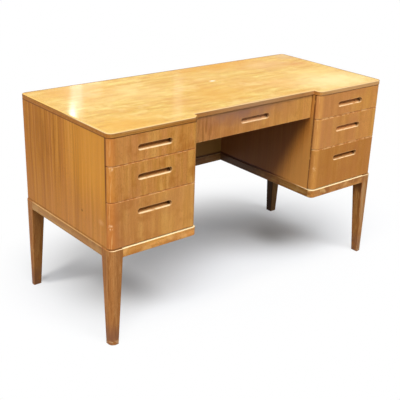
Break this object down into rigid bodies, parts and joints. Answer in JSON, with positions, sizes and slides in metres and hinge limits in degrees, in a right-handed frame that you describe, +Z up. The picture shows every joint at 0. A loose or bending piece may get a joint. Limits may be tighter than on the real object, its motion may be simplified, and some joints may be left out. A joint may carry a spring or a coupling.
{
  "type": "double pedestal desk",
  "caption": "Wooden writing desk with a stepped top over two pedestals of drawers, a shallow drawer over the kneehole, routed finger pulls and tapered legs on a rail base.",
  "frame": {"origin": "on the floor under the middle of the desk", "axes": "+Z up, the drawers and the sitter's side face -Y, +X to the right as seen from the front"},
  "size_m": [1.274, 0.559, 0.74],
  "materials": {
    "top_veneer": "golden straight-grained veneer, worn satin varnish",
    "edge_wood": "brown solid lipping, satin varnish",
    "side_veneer": "honey-brown veneer, upright grain, satin varnish",
    "back_veneer": "honey-brown veneer, satin varnish",
    "front_wood": "honey-brown veneered board, upright grain, satin varnish",
    "base_wood": "solid honey-brown wood, satin varnish",
    "leg_wood": "solid honey-brown wood, satin varnish, worn at the feet",
    "drawer_wood": "pale hardwood, unvarnished",
    "screw_steel": "plain countersunk screws"
  },
  "bodies": {
    "carcass": {"desktop_panel": "top_veneer", "desktop_lipping": "edge_wood", "back_panel": "back_veneer", "left_outer_side": "side_veneer", "left_inner_side": "side_veneer", "left_pedestal_floor": "drawer_wood", "left_front_top_rail": "drawer_wood", "left_rear_top_rail": "drawer_wood", "left_front_base_rail": "base_wood", "left_outer_base_rail": "base_wood", "left_inner_base_rail": "base_wood", "left_drawer_runners": "drawer_wood", "right_outer_side": "side_veneer", "right_inner_side": "side_veneer", "right_pedestal_floor": "drawer_wood", "right_front_top_rail": "drawer_wood", "right_rear_top_rail": "drawer_wood", "right_front_base_rail": "base_wood", "right_outer_base_rail": "base_wood", "right_inner_base_rail": "base_wood", "right_drawer_runners": "drawer_wood", "centre_drawer_runners": "drawer_wood", "back_base_rail": "base_wood", "base_corner_blocks": "drawer_wood", "front_left_leg": "leg_wood", "front_right_leg": "leg_wood", "rear_left_leg": "leg_wood", "rear_right_leg": "leg_wood", "base_screws": "screw_steel", "top_screws": "screw_steel", "runner_screws": "screw_steel"},
    "left_upper_drawer": {"left_upper_front": "front_wood", "left_upper_drawer_sides": "drawer_wood", "left_upper_drawer_back": "drawer_wood", "left_upper_drawer_bottom": "drawer_wood"},
    "left_middle_drawer": {"left_middle_front": "front_wood", "left_middle_drawer_sides": "drawer_wood", "left_middle_drawer_back": "drawer_wood", "left_middle_drawer_bottom": "drawer_wood"},
    "left_lower_drawer": {"left_lower_front": "front_wood", "left_lower_drawer_sides": "drawer_wood", "left_lower_drawer_back": "drawer_wood", "left_lower_drawer_bottom": "drawer_wood"},
    "right_upper_drawer": {"right_upper_front": "front_wood", "right_upper_drawer_sides": "drawer_wood", "right_upper_drawer_back": "drawer_wood", "right_upper_drawer_bottom": "drawer_wood"},
    "right_middle_drawer": {"right_middle_front": "front_wood", "right_middle_drawer_sides": "drawer_wood", "right_middle_drawer_back": "drawer_wood", "right_middle_drawer_bottom": "drawer_wood"},
    "right_lower_drawer": {"right_lower_front": "front_wood", "right_lower_drawer_sides": "drawer_wood", "right_lower_drawer_back": "drawer_wood", "right_lower_drawer_bottom": "drawer_wood"},
    "centre_drawer": {"centre_front": "front_wood", "centre_drawer_sides": "drawer_wood", "centre_drawer_back": "drawer_wood", "centre_drawer_bottom": "drawer_wood"}
  },
  "joints": [
    {"name": "left_upper_drawer_slide", "type": "slide", "parent": "carcass", "child": "left_upper_drawer", "axis": [0, -1, 0], "range_m": [0, 0.34]},
    {"name": "left_middle_drawer_slide", "type": "slide", "parent": "carcass", "child": "left_middle_drawer", "axis": [0, -1, 0], "range_m": [0, 0.34]},
    {"name": "left_lower_drawer_slide", "type": "slide", "parent": "carcass", "child": "left_lower_drawer", "axis": [0, -1, 0], "range_m": [0, 0.34]},
    {"name": "right_upper_drawer_slide", "type": "slide", "parent": "carcass", "child": "right_upper_drawer", "axis": [0, -1, 0], "range_m": [0, 0.34]},
    {"name": "right_middle_drawer_slide", "type": "slide", "parent": "carcass", "child": "right_middle_drawer", "axis": [0, -1, 0], "range_m": [0, 0.34]},
    {"name": "right_lower_drawer_slide", "type": "slide", "parent": "carcass", "child": "right_lower_drawer", "axis": [0, -1, 0], "range_m": [0, 0.34]},
    {"name": "centre_drawer_slide", "type": "slide", "parent": "carcass", "child": "centre_drawer", "axis": [0, -1, 0], "range_m": [0, 0.3]}
  ]
}
